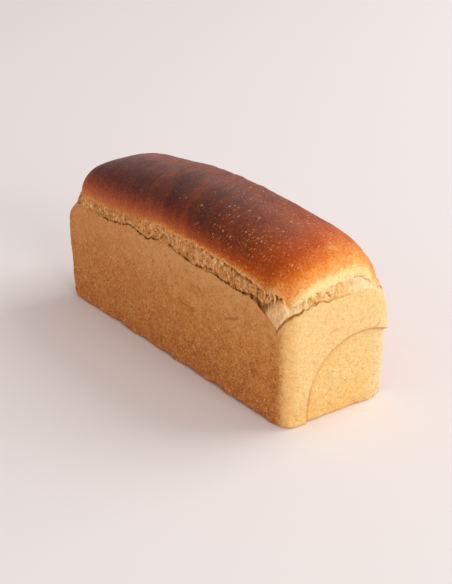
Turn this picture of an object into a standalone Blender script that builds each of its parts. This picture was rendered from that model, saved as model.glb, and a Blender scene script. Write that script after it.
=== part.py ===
"""White sandwich loaf, baked in a long open tin, as one solid. Metres, +Z up.

The loaf lies along X with its origin at the centre of its base. Its -Y side and its +X end
are the ones with the wide tear and the fold of the rolled dough. From the base up it is:
a tin-shaped body, a torn band of crumb that opened above the rim, and a domed crust.
"""

import math

import bmesh
import bpy
from mathutils import Vector, noise

# The tin gives the body its size: a 13 x 4 x 4 inch sandwich tin, which the dough fills.
RIM_LENGTH = 0.3325
RIM_WIDTH = 0.105
RIM_HEIGHT = 0.100
CROWN_HEIGHT = 0.1525

# The end walls lean out from the base up to the belly. The corners round over above the shoulder.
DRAFT_NEAR_END = 0.0015
DRAFT_FAR_END = 0.0065
BELLY_HEIGHT = 0.060
CORNER_RADIUS = 0.009
SHOULDER_START = 0.078
SHOULDER_END = 0.105

# The lower edge is nearly sharp, with hollows where the dough didn't reach the tin's corner.
BASE_EDGE_RADIUS = 0.0030
BASE_EDGE_WAVE = 0.0022
BASE_EDGE_WAVE_SIZE = 0.024
BASE_HOLLOW_HEIGHT = 0.0034
BASE_HOLLOW_SPREAD = 0.010
BASE_HOLLOW_PLACES = (-0.080, -0.040, -0.002, 0.034, 0.072)

# The domed crust starts at the lip, inside the rim and above it.
LIP_INSET_NEAR_END = 0.0030
LIP_INSET_FAR_END = 0.0075
LIP_INSET_SIDES = 0.0022
LIP_RADIUS_NEAR_CORNER = 0.015
LIP_RADIUS_RIGHT_CORNER = 0.022
LIP_RADIUS_FAR_CORNERS = 0.028
LIP_RISE_NEAR_SIDE = 0.010
LIP_SWELL_NEAR_SIDE = 0.0105
LIP_SWELL_CENTRE = 0.016
LIP_SWELL_SPREAD = 0.075
LIP_RISE_FAR_SIDE = 0.005
LIP_RISE_NEAR_END = 0.019
LIP_RISE_FAR_END = 0.013
END_LIP_RISES = (-0.050, -0.032)
END_LIP_FALLS = (0.008, 0.050)
CROWN_DROP_NEAR_END = 0.0136
CROWN_DROP_FAR_END = 0.0220
END_SHARPNESS_NEAR = 9.5
END_SHARPNESS_FAR = 13.0
SIDE_SHARPNESS_NEAR = 2.3
SIDE_SHARPNESS_FAR = 2.2

# The tear: a notch behind the tin-side crust, then stretched crumb up to the lip.
NOTCH_HEIGHT = 0.0018
NOTCH_DEPTH_NEAR_SIDE = 0.0036
NOTCH_DEPTH_NEAR_END = 0.0022
NOTCH_DEPTH_FAR = 0.0016
NOTCH_CLOSED_AT_CORNERS = 0.9
NOTCH_CORNER_SPREAD = 0.022
TORN_EDGE_WAVES = ((0.0015, 0.022, 3.0), (0.0012, 0.009, 5.0))
END_TEAR_CLIMB = 0.010
END_TEAR_RISES = (-0.045, 0.016)
END_TEAR_FALLS = (0.030, 0.048)
CRAG_DEPTH = 0.0018
CRAG_SIZE = 0.0085

# At the near corner the tin-side crust is torn down in a V, and a tongue of dough fills it.
CORNER_DIP = 0.017
CORNER_DIP_FROM_END = 0.014
CORNER_DIP_SPREAD = 0.012
GASH_LENGTH = 0.046
GASH_DEPTH = 0.0060
GASH_HALF_WIDTH = 0.0032
GASH_LOW_END = 0.099
GASH_CLIMB = 0.012
GASH_CLIMBS = (0.25, 0.95)

# The fold: the edge of the rolled dough shows on the near end as an arc that drops to the base.
FOLD_CENTRE_Y = 0.024
FOLD_CENTRE_Z = 0.012
FOLD_RADIUS = 0.0565
FOLD_STEP = 0.0024
FOLD_FADE = 0.022
FOLD_WIDTH = 0.0040
WRAP_SWELL = 0.0020
WRAP_SWELL_SPREAD = 0.020
WRAP_SWELLS = (-0.010, 0.045)

# Dents and swells of a hand-shaped loaf.
WALL_WAVE = 0.0009
WALL_WAVE_SIZE = 0.045
CROWN_WAVE = 0.0011
CROWN_WAVE_SIZE = 0.038
CROWN_WAVE_SLANT = 0.6

# Grid of the solid. The rows of a wall are counted from the base up. A share of the cells
# along the loaf crowds towards its ends.
END_CROWDING = 0.4
LENGTH_CELLS = 42
WIDTH_CELLS = 16
BASE_ROWS = 2
BODY_ROWS = 9
NOTCH_ROWS = 1
CRUMB_ROWS = 4
LIP_ROWS = 1
BODY_TOP = BASE_ROWS + BODY_ROWS
NOTCH_TOP = BODY_TOP + NOTCH_ROWS
CRUMB_TOP = NOTCH_TOP + CRUMB_ROWS
WALL_ROWS = CRUMB_TOP + LIP_ROWS

CRUST_COLOUR = (0.36, 0.14, 0.035, 1.0)
CRUST_ROUGHNESS = 0.55

HALF_LENGTH = RIM_LENGTH / 2
HALF_WIDTH = RIM_WIDTH / 2

# A side hands over to an end within this distance of a corner.
CORNER_REACH = 0.020


def mix(a, b, share):
    """From a to b."""
    return a + (b - a) * share


def ramp(low, high, value):
    """0 below low, 1 above high, and a smooth rise between them."""
    t = min(max((value - low) / (high - low), 0.0), 1.0)
    return t * t * (3 - 2 * t)


def bump(centre, spread, value):
    """A bell of height 1."""
    return math.exp(-(((value - centre) / spread) ** 2))


def wave(point, size, seed):
    """Soft noise from -1 to 1 whose swells are about size across."""
    return noise.noise(Vector(point) / size + Vector((seed, 1.7 * seed, 2.3 * seed)))


def plan_point(u, v, half_length, half_width, radius):
    """Place of the square's point u, v in a rectangle with round corners."""
    x, y = abs(u) * half_length, abs(v) * half_width
    over_x = max((x - (half_length - radius)) / radius, 0.0)
    over_y = max((y - (half_width - radius)) / radius, 0.0)
    if over_x > 0 and over_y > 0:
        x = half_length - radius + radius * over_x * math.sqrt(1 - over_y**2 / 2)
        y = half_width - radius + radius * over_y * math.sqrt(1 - over_x**2 / 2)
    return math.copysign(x, u), math.copysign(y, v)


def round_the_loaf(x, y):
    """Shares of the four walls at this place: near side, far side, near end, far end."""
    to_side = max(abs(y) - HALF_WIDTH + CORNER_REACH, 0.0)
    to_end = max(abs(x) - HALF_LENGTH + CORNER_REACH, 0.0)
    side = ramp(0.2, 0.8, to_side / max(to_side + to_end, 1e-9))
    near_side = 1.0 if y < 0 else 0.0
    near_end = 1.0 if x > 0 else 0.0
    return (
        side * near_side,
        side * (1 - near_side),
        (1 - side) * near_end,
        (1 - side) * (1 - near_end),
    )


def corner_radius(u, v, z):
    """Radius of the plan's corner at this height: it opens out above the shoulder."""
    if u < 0:
        lip_radius = LIP_RADIUS_FAR_CORNERS
    elif v > 0:
        lip_radius = LIP_RADIUS_RIGHT_CORNER
    else:
        lip_radius = LIP_RADIUS_NEAR_CORNER
    return mix(CORNER_RADIUS, lip_radius, ramp(SHOULDER_START, SHOULDER_END, z))


def base_edge_radius(x, y):
    """Radius of the lower edge, larger in the hollows along the near side."""
    radius = BASE_EDGE_RADIUS + BASE_EDGE_WAVE * wave((x, y, 0.0), BASE_EDGE_WAVE_SIZE, 7.0)
    if y < 0 and abs(x) < HALF_LENGTH - CORNER_RADIUS:
        hollow = sum(bump(place, BASE_HOLLOW_SPREAD, x) for place in BASE_HOLLOW_PLACES)
        radius += BASE_HOLLOW_HEIGHT * hollow
    return radius


def lip_height(u, v):
    """Height of the crust's lip over the whole plan, as a patch spanned between the walls' lips."""
    x, y = u * HALF_LENGTH, v * HALF_WIDTH
    along, across = (u + 1) / 2, (v + 1) / 2
    near_side = LIP_RISE_NEAR_SIDE + LIP_SWELL_NEAR_SIDE * bump(LIP_SWELL_CENTRE, LIP_SWELL_SPREAD, x)
    far_side = LIP_RISE_FAR_SIDE
    ends = []
    for top in (LIP_RISE_FAR_END, LIP_RISE_NEAR_END):
        rise = mix(LIP_RISE_NEAR_SIDE, top, ramp(*END_LIP_RISES, y))
        ends.append(mix(rise, LIP_RISE_FAR_SIDE, ramp(*END_LIP_FALLS, y)))
    corners = mix(LIP_RISE_NEAR_SIDE, LIP_RISE_FAR_SIDE, across)
    rise = mix(near_side, far_side, across) + mix(*ends, along) - corners
    return RIM_HEIGHT + rise


def notch_height(x, y):
    """Height of the tin-side crust's torn upper edge."""
    near_end = round_the_loaf(x, y)[2]
    rise = sum(height * wave((x, y, 0.0), size, seed) for height, size, seed in TORN_EDGE_WAVES)
    rise += near_end * END_TEAR_CLIMB * (ramp(*END_TEAR_RISES, y) - ramp(*END_TEAR_FALLS, y))
    if x > 0 and y < 0:
        from_corner = (HALF_LENGTH - x) - (y + HALF_WIDTH)
        rise -= CORNER_DIP * bump(CORNER_DIP_FROM_END, CORNER_DIP_SPREAD, from_corner)
    return RIM_HEIGHT + rise


def fold_relief(y, z):
    """How far the near end sinks inside the fold's arc, or swells outside it."""
    drop = max(FOLD_CENTRE_Z - z, 0.0)
    inside = FOLD_RADIUS - math.hypot(y - FOLD_CENTRE_Y, z - FOLD_CENTRE_Z + drop)
    swell = WRAP_SWELL * bump(0.0, WRAP_SWELL_SPREAD, inside) * ramp(*WRAP_SWELLS, y)
    sink = FOLD_STEP * math.exp(-max(inside, 0.0) / FOLD_FADE)
    return mix(swell, -sink, ramp(-0.25 * FOLD_WIDTH, 0.75 * FOLD_WIDTH, inside))


def gash_depth(x, y, z):
    """The dark hollow where the tear runs up under the crust at the near corner."""
    along = (x - (HALF_LENGTH - GASH_LENGTH)) / GASH_LENGTH
    if y > -HALF_WIDTH / 2 or not 0.0 < along < 1.0:
        return 0.0
    middle = GASH_LOW_END + GASH_CLIMB * ramp(*GASH_CLIMBS, along)
    return GASH_DEPTH * math.sin(math.pi * along) * bump(middle, GASH_HALF_WIDTH, z)


def notch_depth(x, y):
    """How deep the tear cuts in behind the tin-side crust."""
    near_side, far_side, near_end, far_end = round_the_loaf(x, y)
    depth = near_side * NOTCH_DEPTH_NEAR_SIDE + near_end * NOTCH_DEPTH_NEAR_END
    depth += (far_side + far_end) * NOTCH_DEPTH_FAR
    from_corner = math.hypot(abs(x) - HALF_LENGTH, abs(y) - HALF_WIDTH)
    return depth * (1 - NOTCH_CLOSED_AT_CORNERS * bump(0.0, NOTCH_CORNER_SPREAD, from_corner))


def row_profile(u, v, x, y, row):
    """Height of a wall's row at this place, and how far it is set in."""
    edge_radius = base_edge_radius(x, y)
    torn_edge = notch_height(x, y)
    notch = notch_depth(x, y)
    if row <= BASE_ROWS:
        turn = math.pi / 2 * row / BASE_ROWS
        return edge_radius * (1 - math.cos(turn)), edge_radius * (1 - math.sin(turn))
    if row <= BODY_TOP:
        return mix(edge_radius, torn_edge, (row - BASE_ROWS) / BODY_ROWS), 0.0
    if row <= NOTCH_TOP:
        share = (row - BODY_TOP) / NOTCH_ROWS
        return torn_edge + NOTCH_HEIGHT * share, notch * share
    share = min((row - NOTCH_TOP) / (WALL_ROWS - NOTCH_TOP), 1.0)
    z = mix(torn_edge + NOTCH_HEIGHT, lip_height(u, v), share)
    crags = CRAG_DEPTH * wave((x, y, z), CRAG_SIZE, 9.0)
    hollows = (crags + gash_depth(x, y, z)) * math.sin(math.pi * share)
    return z, notch * (1 - ramp(0.0, 0.7, share)) + hollows


def wall_point(u, v, row):
    """A point of the wall that runs from the base round the loaf up to the crust's lip."""
    x, y = plan_point(u, v, HALF_LENGTH, HALF_WIDTH, CORNER_RADIUS)
    z, inset = row_profile(u, v, x, y, row)
    lip_share = ramp(BODY_TOP, WALL_ROWS, row)
    inset += WALL_WAVE * wave((x, y, z), WALL_WAVE_SIZE, 11.0) * ramp(0, BASE_ROWS, row) * (1 - lip_share)
    draft = max(1 - z / BELLY_HEIGHT, 0.0)
    if u > 0:
        half_length = HALF_LENGTH - inset - DRAFT_NEAR_END * draft - LIP_INSET_NEAR_END * lip_share
    else:
        shoulder = ramp(SHOULDER_START, SHOULDER_END, z)
        half_length = HALF_LENGTH - inset - DRAFT_FAR_END * draft - LIP_INSET_FAR_END * shoulder
    half_width = HALF_WIDTH - inset - LIP_INSET_SIDES * lip_share
    radius = corner_radius(u, v, z)
    x, y = plan_point(u, v, half_length, half_width, radius)
    if u > 0 and row < NOTCH_TOP:
        x += fold_relief(y, z) * ramp(half_length - radius, half_length - 0.4 * radius, x)
    return Vector((x, y, z))


def crown_point(u, v):
    """A point of the domed crust."""
    end_inset = LIP_INSET_NEAR_END if u > 0 else LIP_INSET_FAR_END
    half_length, half_width = HALF_LENGTH - end_inset, HALF_WIDTH - LIP_INSET_SIDES
    x, y = plan_point(u, v, half_length, half_width, corner_radius(u, v, CROWN_HEIGHT))
    lip = lip_height(u, v)
    end_drop = CROWN_DROP_NEAR_END if u > 0 else CROWN_DROP_FAR_END
    crown = CROWN_HEIGHT - end_drop * u**2
    end_sharpness = END_SHARPNESS_NEAR if u > 0 else END_SHARPNESS_FAR
    side_sharpness = SIDE_SHARPNESS_FAR if v > 0 else SIDE_SHARPNESS_NEAR
    arch = math.sqrt(max(1 - abs(u) ** end_sharpness, 0.0))
    arch *= math.sqrt(max(1 - abs(v) ** side_sharpness, 0.0))
    z = mix(lip, crown, arch)
    z += CROWN_WAVE * arch * wave((x + CROWN_WAVE_SLANT * y, y, 0.0), CROWN_WAVE_SIZE, 13.0)
    return Vector((x, y, z))


def loaf_point(p):
    """Carries a point of the two-unit cube's surface onto the loaf."""
    u = mix(p.x, math.copysign(1 - (1 - abs(p.x)) ** 2, p.x), END_CROWDING)
    v = math.sin(math.pi / 2 * p.y)
    if p.z > 1 - 1e-6:
        return crown_point(u, v)
    return wall_point(u, v, (p.z + 1) / 2 * WALL_ROWS)


def cut_across(bm, axis, cells):
    """Cuts every edge along the axis into this many cells."""
    edges = [e for e in bm.edges if abs(e.verts[0].co[axis] - e.verts[1].co[axis]) > 1e-6]
    bmesh.ops.subdivide_edges(bm, edges=edges, cuts=cells - 1, use_grid_fill=True)


def halve(bm, faces):
    """Cuts each of these faces in four."""
    edges = {e for f in faces for e in f.edges}
    bmesh.ops.subdivide_edges(bm, edges=list(edges), cuts=1, use_grid_fill=True)


def middle_of(face):
    return face.calc_center_median()


def make_cage():
    """The cube's grid, finer in the torn band and on the near end, with one face as its base."""
    bm = bmesh.new()
    bmesh.ops.create_cube(bm, size=2.0)
    for axis, cells in ((0, LENGTH_CELLS), (1, WIDTH_CELLS), (2, WALL_ROWS)):
        cut_across(bm, axis, cells)
    band_start = -1 + 2 * BODY_TOP / WALL_ROWS
    band = [f for f in bm.faces if band_start < middle_of(f).z < 1 - 1e-6]
    halve(bm, band)
    near_end = [f for f in bm.faces if middle_of(f).x > 1 - 1e-6 and middle_of(f).z < band_start]
    halve(bm, near_end)
    base = [f for f in bm.faces if middle_of(f).z < -1 + 1e-6]
    bmesh.ops.dissolve_faces(bm, faces=base, use_verts=False)
    return bm


def crust_material():
    material = bpy.data.materials.new("baked_crust")
    material.use_nodes = True
    shader = material.node_tree.nodes["Principled BSDF"]
    shader.inputs["Base Color"].default_value = CRUST_COLOUR
    shader.inputs["Roughness"].default_value = CRUST_ROUGHNESS
    shader.inputs["Metallic"].default_value = 0.0
    return material


def centre_on_base(mesh):
    """Sets the loaf down with the middle of its outline over the origin."""
    xs = [v.co.x for v in mesh.vertices]
    ys = [v.co.y for v in mesh.vertices]
    zs = [v.co.z for v in mesh.vertices]
    shift = Vector(((min(xs) + max(xs)) / 2, (min(ys) + max(ys)) / 2, min(zs)))
    for vertex in mesh.vertices:
        vertex.co -= shift


def make_loaf():
    bm = make_cage()
    for vertex in bm.verts:
        vertex.co = loaf_point(vertex.co)
    bmesh.ops.recalc_face_normals(bm, faces=bm.faces)
    mesh = bpy.data.meshes.new("loaf")
    bm.to_mesh(mesh)
    bm.free()
    centre_on_base(mesh)
    mesh.shade_smooth()
    mesh.set_sharp_from_angle(angle=math.radians(50))
    mesh.materials.append(crust_material())
    loaf = bpy.data.objects.new("loaf", mesh)
    bpy.context.scene.collection.objects.link(loaf)
    return loaf


for old in list(bpy.data.objects):
    bpy.data.objects.remove(old)
make_loaf()
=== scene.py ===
# %% [markdown]
# # White sandwich loaf
# A whole white loaf from a long open tin. Its square walls baked against metal, the dough burst
# above the rim into a band of pale torn crumb, and the top rose free and browned.
#
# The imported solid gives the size. Four finer pieces stand for it here: the tin-side crust, the torn
# crumb, the domed crust and a few loose shreds. Each surface came about in another way and looks
# different up close, so each is a mesh of its own. Only the shreds share a material, the crumb's.

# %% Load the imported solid
import math

import bmesh
import bpy
import numpy as np
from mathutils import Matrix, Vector, noise


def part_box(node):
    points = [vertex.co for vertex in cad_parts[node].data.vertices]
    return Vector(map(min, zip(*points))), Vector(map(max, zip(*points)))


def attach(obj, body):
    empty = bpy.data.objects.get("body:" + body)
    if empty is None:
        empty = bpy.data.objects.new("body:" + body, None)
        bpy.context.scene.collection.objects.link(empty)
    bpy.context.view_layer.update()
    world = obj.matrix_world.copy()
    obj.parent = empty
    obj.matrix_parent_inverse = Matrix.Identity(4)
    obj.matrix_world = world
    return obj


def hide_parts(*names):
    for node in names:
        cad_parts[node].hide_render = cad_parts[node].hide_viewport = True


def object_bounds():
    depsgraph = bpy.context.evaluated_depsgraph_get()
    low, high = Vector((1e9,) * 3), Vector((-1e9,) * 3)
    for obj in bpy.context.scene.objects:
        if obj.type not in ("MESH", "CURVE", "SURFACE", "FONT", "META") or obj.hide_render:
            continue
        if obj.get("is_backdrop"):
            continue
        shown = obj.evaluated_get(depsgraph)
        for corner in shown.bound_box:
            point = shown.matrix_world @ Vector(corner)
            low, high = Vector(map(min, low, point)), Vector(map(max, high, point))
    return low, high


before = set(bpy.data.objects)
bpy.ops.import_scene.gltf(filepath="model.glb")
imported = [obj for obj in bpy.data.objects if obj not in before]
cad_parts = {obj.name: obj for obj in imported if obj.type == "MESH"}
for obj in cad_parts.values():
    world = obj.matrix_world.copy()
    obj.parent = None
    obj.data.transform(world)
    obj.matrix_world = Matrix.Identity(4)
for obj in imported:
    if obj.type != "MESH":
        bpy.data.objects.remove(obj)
bounds_at_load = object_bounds()
lowest, highest = (np.array(corner) * 1000 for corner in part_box("loaf"))
print("packed loaf in mm:", np.round(highest - lowest, 1))

# %% [markdown]
# ## Measures
# Everything is in millimetres until a piece is set down. The tin gives the body, 332.5 long and 105
# wide at its rim. The domed crust begins at a lip above the rim and a little inside the walls.

# %% Measures of the tin and the lip
HALF_LENGTH, HALF_WIDTH = 166.25, 52.5
CROWN_HEIGHT = 152.5
TIN_CORNER_RADIUS = 9.0
SIDE_LIP_INSET, NEAR_LIP_INSET, FAR_LIP_INSET = 2.2, 3.0, 7.5
print("tin's rim in mm:", 2 * HALF_LENGTH, "by", 2 * HALF_WIDTH)

# %% [markdown]
# ## Curve tools
# Bread has few straight lines, so small functions describe it: a smooth rise, a bell, a curve
# through chosen places, and soft noise of a given size. Each of them works on all vertices at once.


# %% Curve tools
def mix(a, b, share):
    """From a to b."""
    return a + (b - a) * share


def ramp(low, high, value):
    """0 below low, 1 above high, and a smooth rise between them."""
    t = np.clip((value - low) / (high - low), 0, 1)
    return t * t * (3 - 2 * t)


def bump(centre, spread, value):
    """A bell of height 1."""
    return np.exp(-(((value - centre) / spread) ** 2))


def curve_through(knots, at):
    """A smooth curve through the knots, read at these places."""
    x, y = np.array(knots, float).T
    slope = np.gradient(y, x)
    i = np.clip(np.searchsorted(x, at) - 1, 0, len(x) - 2)
    width = x[i + 1] - x[i]
    t = np.clip((at - x[i]) / width, 0, 1)
    start = y[i] * (1 + 2 * t) * (1 - t) ** 2 + slope[i] * width * t * (1 - t) ** 2
    end = y[i + 1] * t * t * (3 - 2 * t) - slope[i + 1] * width * t * t * (1 - t)
    return start + end


def places(x, y, z=0.0):
    """One row of x, y and z for each vertex."""
    return np.stack(np.broadcast_arrays(x, y, z), 1)


def waves(points, size, seed):
    """Soft noise from -1 to 1 whose swells are about size across, at every point."""
    moved = points / np.array(size) + seed * np.array((1.0, 1.7, 2.3))
    return np.array([noise.noise(p) for p in moved.tolist()])


def layered(points, layers):
    """Noise of several sizes in one, each given as its depth, size and seed."""
    return sum(depth * waves(points, size, seed) for depth, size, seed in layers)


print("a smooth rise, a quarter of the way up:", ramp(0, 4, 1.0))

# %% [markdown]
# ## The plan of the loaf
# A place on the loaf is named by u and v, which run from -1 to 1 along and across it. Seen from
# above, the walls are a rectangle with round corners. The tin presses the corners tight, and above
# its rim the free dough pulls them rounder.

# %% From u and v to the plan
RIM_BEGINS, RIM_ENDS = 78, 105
CORNER_BLEND = 20.0


def plan(u, v, half_length, half_width, radius):
    """x and y of a place, on a rectangle with round corners."""
    x, y = np.abs(u) * half_length, np.abs(v) * half_width
    over_x = np.maximum((x - (half_length - radius)) / radius, 0)
    over_y = np.maximum((y - (half_width - radius)) / radius, 0)
    in_corner = (over_x > 0) & (over_y > 0)
    round_x = half_length - radius + radius * over_x * np.sqrt(1 - over_y**2 / 2)
    round_y = half_width - radius + radius * over_y * np.sqrt(1 - over_x**2 / 2)
    x, y = np.where(in_corner, round_x, x), np.where(in_corner, round_y, y)
    return np.copysign(x, u), np.copysign(y, v)


def free_share(z):
    """0 where the tin holds the dough and 1 where the dough is free of it."""
    return ramp(RIM_BEGINS, RIM_ENDS, z)


def corner_radius(u, v, z):
    near_corner = (u > 0) & (v < 0)
    tin_radius = TIN_CORNER_RADIUS + 3.0 * near_corner
    lip_radius = np.where(u < 0, 28.0, np.where(near_corner, 24.0, 20.0))
    return mix(tin_radius, lip_radius, free_share(z))


def wall_shares(x, y):
    """How much each place belongs to the near side, far side, near end and far end."""
    to_side = np.maximum(np.abs(y) - HALF_WIDTH + CORNER_BLEND, 0)
    to_end = np.maximum(np.abs(x) - HALF_LENGTH + CORNER_BLEND, 0)
    side = ramp(0.2, 0.8, to_side / np.maximum(to_side + to_end, 1e-6))
    return side * (y < 0), side * (y >= 0), (1 - side) * (x > 0), (1 - side) * (x <= 0)


near_radii = corner_radius(np.ones(2), -np.ones(2), np.array((0, RIM_ENDS)))
print("near corner's radius in mm, at the base and at the lip:", near_radii)

# %% [markdown]
# ## The tear
# Two lines run round the loaf: the ragged upper edge of the tin-side crust, and the lip where the
# domed crust begins. The crumb shows between them. Each list gives places along a wall with the
# height of the line there, chosen on the real loaf. The V near the corner is part of them.

# %% Heights of the torn edge and the lip, and how deep the tear is
TORN_NEAR_SIDE = [(-166, 96.5), (-139, 97), (-112, 97), (-75, 99), (-55, 103), (-37, 100), (1, 105),
                  (32, 100), (70, 100), (97, 98), (107, 97.5), (116, 98), (124, 96.5), (131, 94),
                  (135, 92), (140, 90), (145, 87.5), (149, 85), (153, 81), (157, 84), (161, 88),
                  (164, 91.5), (166.3, 92.5)]
TORN_NEAR_END = [(-52.5, 93), (-47, 95.5), (-41, 98.5), (-37, 99.5), (-30, 101), (-22, 102.5),
                 (-13, 101.5), (7, 101.5), (20, 101.5), (30, 100), (39, 95.5), (52.5, 93)]
LIP_NEAR_SIDE = [(-166, 106), (-137, 107), (-96, 107.5), (-66, 110), (-37, 113), (-9, 117.5),
                 (17, 116), (43, 117), (75, 115), (97, 114), (113, 112.5), (121, 111), (128, 109.5),
                 (138, 107.5), (147, 109.5), (156, 109.5), (161, 107), (164, 103), (166.3, 100)]
LIP_NEAR_END = [(-52.5, 100), (-45, 103), (-36, 107), (-23, 110), (-13, 112), (-3, 113.5), (7, 115),
                (18, 115), (24, 113), (30, 110), (35, 106), (38.5, 101), (41, 98), (46, 97), (52.5, 97)]
LIP_FAR_SIDE = [(-166, 105), (0, 106), (130, 104), (166, 97)]
LIP_FAR_END = [(-52.5, 106), (-32, 112), (8, 113), (52.5, 105)]
DEPTH_NEAR_SIDE = [(-166, 1.4), (-140, 1.7), (-100, 1.9), (-40, 2.0), (20, 2.0), (80, 2.0), (112, 2.4),
                   (126, 3.2), (134, 3.0), (139, 1.2), (144, 0.4), (151, 0.3), (156, 0.9), (166, 1.4)]
DEPTH_NEAR_END = [(-52.5, 1.6), (-41, 1.8), (-30, 1.7), (-18, 1.2), (0, 0.8), (52.5, 0.4)]
FAR_DEPTH = 1.2
RAGGED_EDGE = ((0.9, 11, 3), (1.0, 4.5, 5), (1.2, 2.4, 6))
print("highest lip in mm:", max(height for _, height in LIP_NEAR_SIDE))


# %% Read the tear at any place
def lip_height(u, v):
    """The lip's height round the loaf, spread over the whole plan between the four walls."""
    x, y = u * HALF_LENGTH, v * HALF_WIDTH
    along, across = (u + 1) / 2, (v + 1) / 2
    height = mix(curve_through(LIP_NEAR_SIDE, x), curve_through(LIP_FAR_SIDE, x), across)
    for knots, share in ((LIP_NEAR_END, along), (LIP_FAR_END, 1 - along)):
        straight = mix(knots[0][1], knots[-1][1], across)
        height = height + (curve_through(knots, y) - straight) * share
    return height


def torn_height(x, y):
    """Height of the ragged upper edge that the tear left on the tin-side crust."""
    near_side, far_side, near_end, far_end = wall_shares(x, y)
    height = near_side * curve_through(TORN_NEAR_SIDE, x) + near_end * curve_through(TORN_NEAR_END, y)
    height += far_side * mix(98.0, 94.0, ramp(130, 166, x))
    height += far_end * mix(99.0, 97.0, bump(-52.5, 15, y))
    calm_end = 1 - 0.8 * near_end * ramp(-16, 0, y)
    return height + calm_end * layered(places(x, y), RAGGED_EDGE)


def tear_depth(x, y):
    """How far the crumb lies behind the tin-side crust where the tear starts."""
    near_side, far_side, near_end, far_end = wall_shares(x, y)
    near_depth = near_side * curve_through(DEPTH_NEAR_SIDE, x) + near_end * curve_through(DEPTH_NEAR_END, y)
    return near_depth + (far_side + far_end) * FAR_DEPTH


print("lip in mm, middle of the near side:", lip_height(np.zeros(1), -np.ones(1)).round(1))

# %% [markdown]
# ## Tubes to start from
# Both wall pieces start as a cylinder with about a thousand sides. Its upright edges are selected
# and subdivided, which cuts it into rows, and the rows run round the loaf like the tin's wall does.
# No operator knows what bread does in an oven, so each vertex is then moved to its place by the
# functions above. A cell ends up a millimetre wide or less, fine enough for real relief.


# %% Make a tube and set a piece down
def select_edges(wanted):
    """Selects the edges that pass the test, and nothing else."""
    bm = bmesh.from_edit_mesh(bpy.context.object.data)
    for edge in bm.edges:
        edge.select_set(wanted(edge))
    bmesh.update_edit_mesh(bpy.context.object.data)


def upright(edge):
    return abs(edge.verts[0].co.z - edge.verts[1].co.z) > 1e-6


def make_tube(name, columns, rows):
    bpy.ops.object.select_all(action="DESELECT")
    bpy.ops.mesh.primitive_cylinder_add(vertices=columns, radius=1, depth=2, end_fill_type="NGON")
    tube = bpy.context.object
    tube.name = name
    bpy.ops.object.mode_set(mode="EDIT")
    bpy.ops.mesh.select_mode(type="EDGE")
    select_edges(upright)
    bpy.ops.mesh.subdivide(number_cuts=rows - 1)
    bpy.ops.object.mode_set(mode="OBJECT")
    return tube


def read_points(thing):
    points = np.empty(len(thing.data.vertices) * 3)
    thing.data.vertices.foreach_get("co", points)
    return points.reshape(-1, 3)


def tube_places(tube, rows):
    """u, v and the row of every vertex of a tube."""
    points = read_points(tube)
    length, width = 2 * HALF_LENGTH, 2 * HALF_WIDTH
    way = (np.arctan2(points[:, 1], points[:, 0]) / math.tau % 1) * 2 * (length + width)
    corners = np.cumsum((0, length, width, length, width))
    u = np.interp(way, corners, (-1, 1, 1, -1, -1))
    v = np.interp(way, corners, (-1, -1, 1, 1, -1))
    return u, v, np.rint((points[:, 2] + 1) / 2 * rows)


def set_down(thing, x, y, z, **marks):
    """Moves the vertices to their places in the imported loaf's box, and keeps the marks on them."""
    points = places(x, y, z) + np.array((lowest[0] + HALF_LENGTH, 0, 0))
    inside = np.clip(points, lowest, highest)
    thing.data.vertices.foreach_set("co", (inside / 1000).ravel())
    for name, values in marks.items():
        mark = thing.data.attributes.new(name, "FLOAT", "POINT")
        mark.data.foreach_set("value", np.asarray(values, np.float32))
    bpy.context.view_layer.objects.active = thing
    bpy.ops.object.mode_set(mode="EDIT")
    bpy.ops.mesh.select_all(action="SELECT")
    bpy.ops.mesh.normals_make_consistent(inside=False)
    bpy.ops.object.mode_set(mode="OBJECT")
    thing.data.shade_smooth()
    print(thing.name, "in mm:", np.round(np.ptp(inside, axis=0), 1), "faces:", len(thing.data.polygons))
    print("held in by the box, at most:", round(np.abs(inside - points).max(), 2))


print("way round the walls in mm:", 4 * (HALF_LENGTH + HALF_WIDTH))

# %% [markdown]
# ## Tin-side crust
# The walls baked against metal, so they are smooth and take the tin's shape: ends that lean out a
# little, tight corners and a nearly sharp lower edge, with hollows along the near side where the
# dough didn't reach the tin.

# %% Lean of the walls and the lower edge
DRAFT_HEIGHT, NEAR_DRAFT, FAR_DRAFT = 60, 1.5, 6.5
BASE_EDGE_RADIUS = 2.8
BASE_HOLLOWS = (-80, -40, -2, 34, 72)


def wall_leaned(u, v, z, inset, lip_share):
    """The plan of the walls at height z, leaning out from the base and in towards the lip."""
    draft = np.maximum(1 - z / DRAFT_HEIGHT, 0)
    near = HALF_LENGTH - inset - NEAR_DRAFT * draft - NEAR_LIP_INSET * lip_share
    far = HALF_LENGTH - inset - FAR_DRAFT * draft - FAR_LIP_INSET * free_share(z)
    half_length = np.where(u > 0, near, far)
    half_width = HALF_WIDTH - inset - SIDE_LIP_INSET * lip_share
    x, y = plan(u, v, half_length, half_width, corner_radius(u, v, z))
    return x, y, half_length


def base_edge(x, y):
    """Radius of the lower edge, larger in the hollows and at the outer corners."""
    on_near_side = (y < 0) & (np.abs(x) < HALF_LENGTH - TIN_CORNER_RADIUS)
    hollows = sum(bump(middle, 10, x) for middle in BASE_HOLLOWS) * on_near_side
    far_corner = bump(HALF_WIDTH, 12, y) * (x > 0)
    left_corner = bump(-HALF_LENGTH, 16, x) * (y < 0)
    uneven = layered(places(x, y), ((2.0, 24, 7), (1.4, 7, 8)))
    return BASE_EDGE_RADIUS + uneven + 3.2 * hollows + 4.0 * (far_corner + left_corner)


print("lean in mm, near end and far end:", NEAR_DRAFT, FAR_DRAFT)

# %% [markdown]
# A baker rolls the dough up before it goes into the tin, and on the near end the roll's edge shows
# as an arc. Outside the arc the dough swells, and inside it sinks back.

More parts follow.
